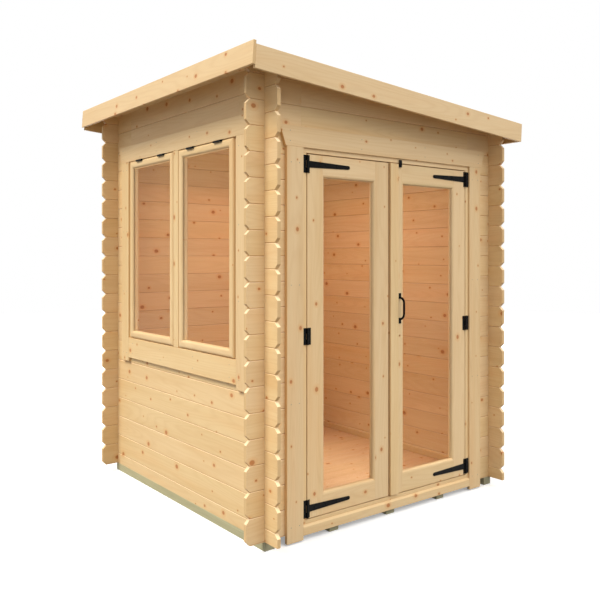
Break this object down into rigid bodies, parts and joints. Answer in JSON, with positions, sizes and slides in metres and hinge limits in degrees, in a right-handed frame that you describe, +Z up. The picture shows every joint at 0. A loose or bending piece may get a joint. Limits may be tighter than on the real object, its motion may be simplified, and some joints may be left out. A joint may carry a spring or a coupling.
{
  "type": "pent roof log cabin",
  "caption": "Small square log cabin with interlocking log walls, a single-slope roof, a row of top-hung windows in the high wall and a pair of glazed outward-opening doors.",
  "frame": {"origin": "on the ground under the middle of the walls, on the lower face of a bearer", "axes": "+X to the right along the front wall, from the high side to the low side; +Y from the doors to the back; +Z up"},
  "size_m": [1.8958, 1.936, 2.2677],
  "materials": {
    "log_wood": "planed softwood logs, bare",
    "trim_wood": "planed softwood boards, bare",
    "joinery_wood": "planed softwood joinery, bare",
    "floor_wood": "planed tongued boards, bare",
    "roof_wood": "planed tongued boards, bare",
    "treated_timber": "sawn, pressure treated grey-green",
    "roof_felt": "mineral roofing felt",
    "glass": "clear float glass",
    "hardware": "black powder coat"
  },
  "bodies": {
    "cabin": {"front_wall_left": "log_wood", "front_wall_right": "log_wood", "front_wall_top": "log_wood", "back_wall": "log_wood", "right_wall": "log_wood", "window_wall_base": "log_wood", "window_wall_front": "log_wood", "window_wall_back": "log_wood", "window_wall_top": "log_wood", "bearers": "treated_timber", "floor_boards": "floor_wood", "skirting": "floor_wood", "roof_boards": "roof_wood", "roof_felt": "roof_felt", "high_fascia": "trim_wood", "low_fascia": "trim_wood", "front_fascia": "trim_wood", "back_fascia": "trim_wood", "door_posts": "joinery_wood", "door_rails": "joinery_wood", "door_side_trims": "trim_wood", "door_head_board": "trim_wood", "threshold": "trim_wood", "frame_hinges": "hardware", "window_posts": "joinery_wood", "window_rails": "joinery_wood", "window_side_trims": "trim_wood", "window_head_board": "trim_wood", "window_sill_board": "trim_wood", "sash_stiles": "joinery_wood", "sash_rails": "joinery_wood", "window_panes": "glass", "window_hinges": "hardware"},
    "left_door": {"left_leaf_stiles": "joinery_wood", "left_leaf_rails": "joinery_wood", "left_leaf_glass": "glass", "left_leaf_hinges": "hardware"},
    "right_door": {"right_leaf_stiles": "joinery_wood", "right_leaf_rails": "joinery_wood", "right_leaf_glass": "glass", "right_leaf_hinges": "hardware", "cover_strip": "trim_wood", "pull_handle": "hardware", "head_latch": "hardware"}
  },
  "joints": [
    {"name": "left_door_swing", "type": "hinge", "parent": "cabin", "child": "left_door", "pos_m": [-0.5755, -0.829, 0.965], "axis": [0, 0, -1], "range_deg": [0, 120]},
    {"name": "right_door_swing", "type": "hinge", "parent": "cabin", "child": "right_door", "pos_m": [0.5755, -0.829, 0.965], "axis": [0, 0, 1], "range_deg": [0, 120]}
  ]
}
